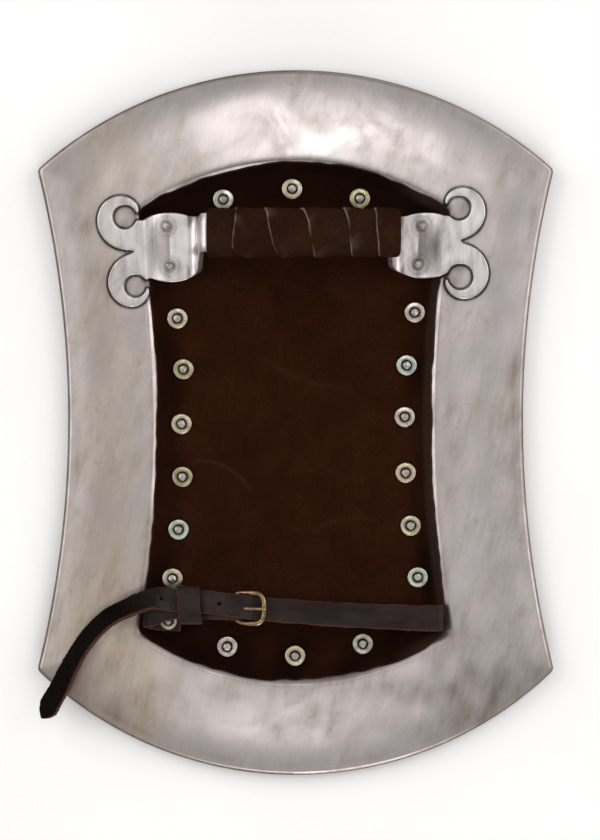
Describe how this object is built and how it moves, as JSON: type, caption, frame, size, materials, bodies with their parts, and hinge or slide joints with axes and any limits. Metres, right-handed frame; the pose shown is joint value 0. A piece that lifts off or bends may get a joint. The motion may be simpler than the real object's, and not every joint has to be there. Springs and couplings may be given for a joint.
{
  "type": "hand shield",
  "caption": "four-cornered steel hand shield with bowed ends, hollow sides, a riveted suede lining, a scroll-ended grip handle and a buckled arm strap",
  "frame": {"origin": "under the middle of the shield, on the floor that its front rivet heads rest on", "axes": "+X to the right seen from the back, +Y to the top edge by the handle, +Z out of the back towards the holder"},
  "size_m": [0.323, 0.4456, 0.0629],
  "materials": {
    "steel": "worn, brushed and lightly stained",
    "handle_steel": "brushed, with dark stains",
    "rivet_steel": "hammered",
    "washer_zinc": "yellowed zinc plating",
    "suede": "matt suede",
    "grip_suede": "matt suede, wound",
    "strap_leather": "smooth with raw edges",
    "brass": "tarnished"
  },
  "bodies": {
    "root": {"arm_strap": "strap_leather", "buckle_frame": "brass", "buckle_prong": "brass", "buckle_strap": "strap_leather", "grip_wrap": "grip_suede", "handle": "handle_steel", "handle_rivet_left_lower": "rivet_steel", "handle_rivet_left_upper": "rivet_steel", "handle_rivet_right_lower": "rivet_steel", "handle_rivet_right_upper": "rivet_steel", "keeper_loop": "strap_leather", "leather_lining": "suede", "lining_rivet_01": "rivet_steel", "lining_rivet_02": "rivet_steel", "lining_rivet_03": "rivet_steel", "lining_rivet_04": "rivet_steel", "lining_rivet_05": "rivet_steel", "lining_rivet_06": "rivet_steel", "lining_rivet_07": "rivet_steel", "lining_rivet_08": "rivet_steel", "lining_rivet_09": "rivet_steel", "lining_rivet_10": "rivet_steel", "lining_rivet_11": "rivet_steel", "lining_rivet_12": "rivet_steel", "lining_rivet_13": "rivet_steel", "lining_rivet_14": "rivet_steel", "lining_rivet_15": "rivet_steel", "lining_rivet_16": "rivet_steel", "lining_rivet_17": "rivet_steel", "lining_rivet_18": "rivet_steel", "lining_washer_01": "washer_zinc", "lining_washer_02": "washer_zinc", "lining_washer_03": "washer_zinc", "lining_washer_04": "washer_zinc", "lining_washer_05": "washer_zinc", "lining_washer_06": "washer_zinc", "lining_washer_07": "washer_zinc", "lining_washer_08": "washer_zinc", "lining_washer_09": "washer_zinc", "lining_washer_10": "washer_zinc", "lining_washer_11": "washer_zinc", "lining_washer_12": "washer_zinc", "lining_washer_13": "washer_zinc", "lining_washer_14": "washer_zinc", "lining_washer_15": "washer_zinc", "lining_washer_16": "washer_zinc", "lining_washer_17": "washer_zinc", "lining_washer_18": "washer_zinc", "shield_plate": "steel", "strap_rivet_left": "rivet_steel", "strap_rivet_right": "rivet_steel", "strap_washer_left": "washer_zinc", "strap_washer_right": "washer_zinc"}
  },
  "joints": []
}
